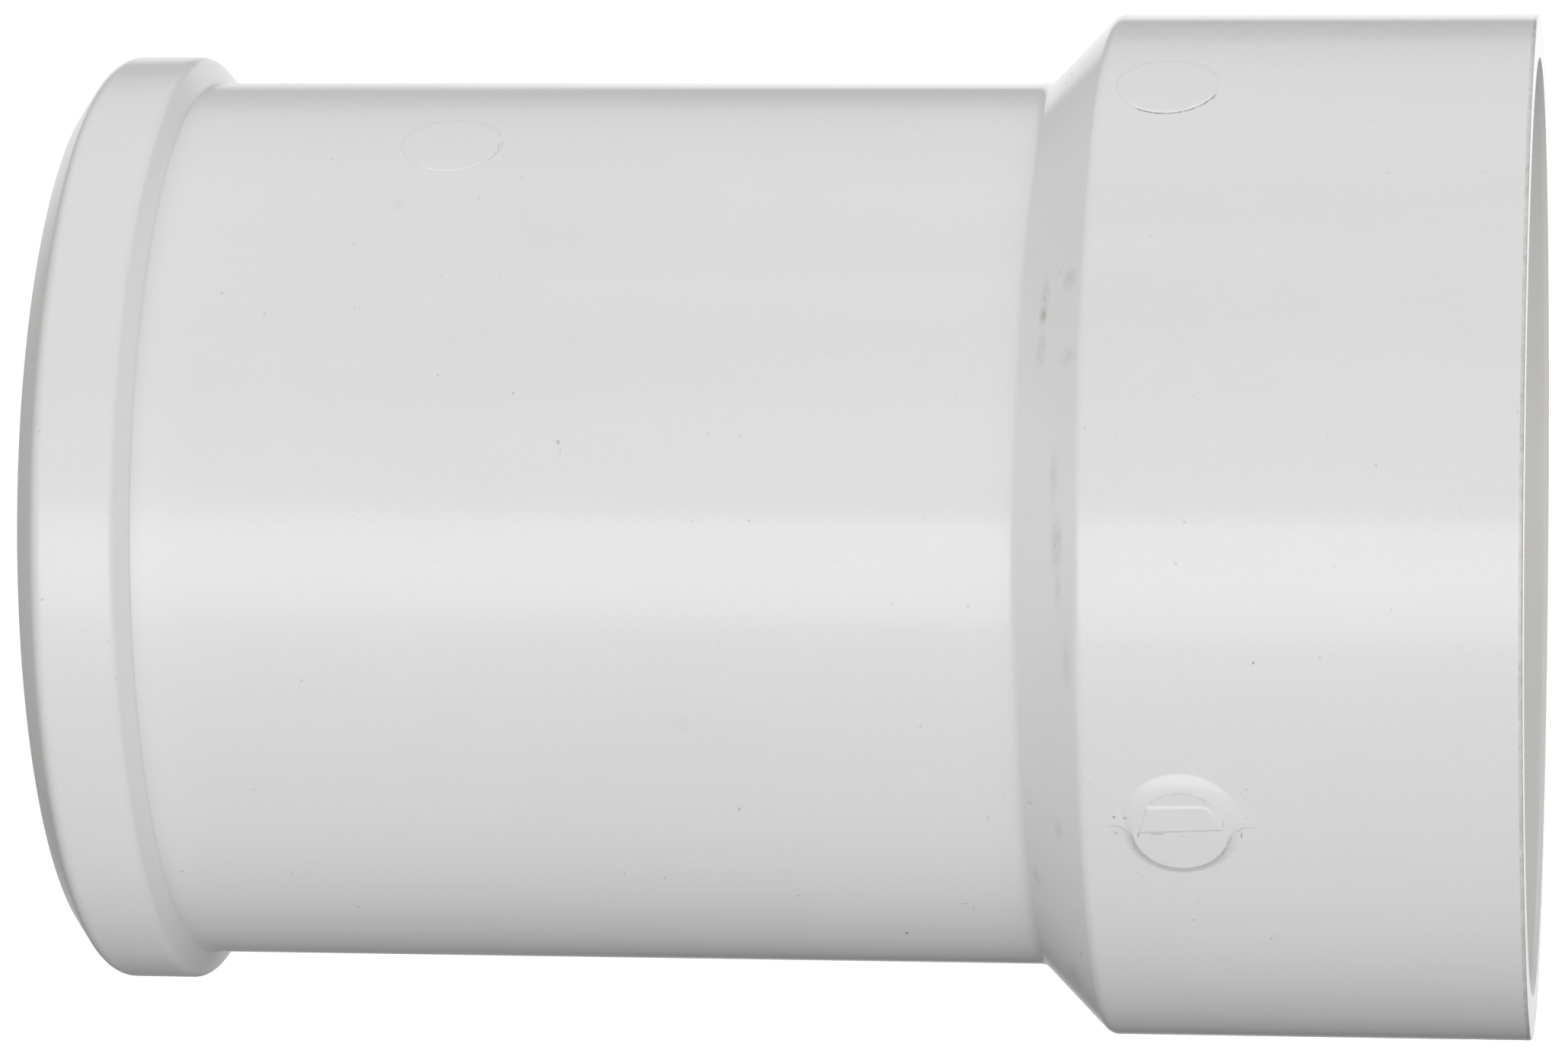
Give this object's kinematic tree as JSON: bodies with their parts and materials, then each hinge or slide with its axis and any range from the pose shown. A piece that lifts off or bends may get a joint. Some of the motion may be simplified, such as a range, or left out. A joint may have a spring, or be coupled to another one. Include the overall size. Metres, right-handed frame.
{
  "type": "reducing coupling",
  "caption": "White plastic drain coupling: a bell hub for a pipe, a 45 degree cone and a long plain spigot with a beaded end.",
  "frame": {"origin": "centre of the bead end's face, which the fitting stands on", "axes": "+Z along the flow axis from the bead end to the hub mouth; the mould's parting line lies 34.2 degrees from -Y towards +X"},
  "size_m": [0.1262, 0.1262, 0.1788],
  "materials": {
    "moulded_pvc_bead": "white PVC, slightly dulled by handling",
    "moulded_pvc_barrel": "white PVC, semi gloss, with fine specks and hair scratches",
    "moulded_pvc_cone": "white PVC, duller, with handling smudges",
    "moulded_pvc_inside": "white PVC, satin from the core of the mould",
    "moulded_pvc_hub": "white PVC, semi gloss"
  },
  "bodies": {
    "root": {"spigot_bead": "moulded_pvc_bead", "spigot_barrel": "moulded_pvc_barrel", "reducing_cone": "moulded_pvc_cone", "socket_stop": "moulded_pvc_inside", "hub_socket": "moulded_pvc_hub"}
  },
  "joints": []
}
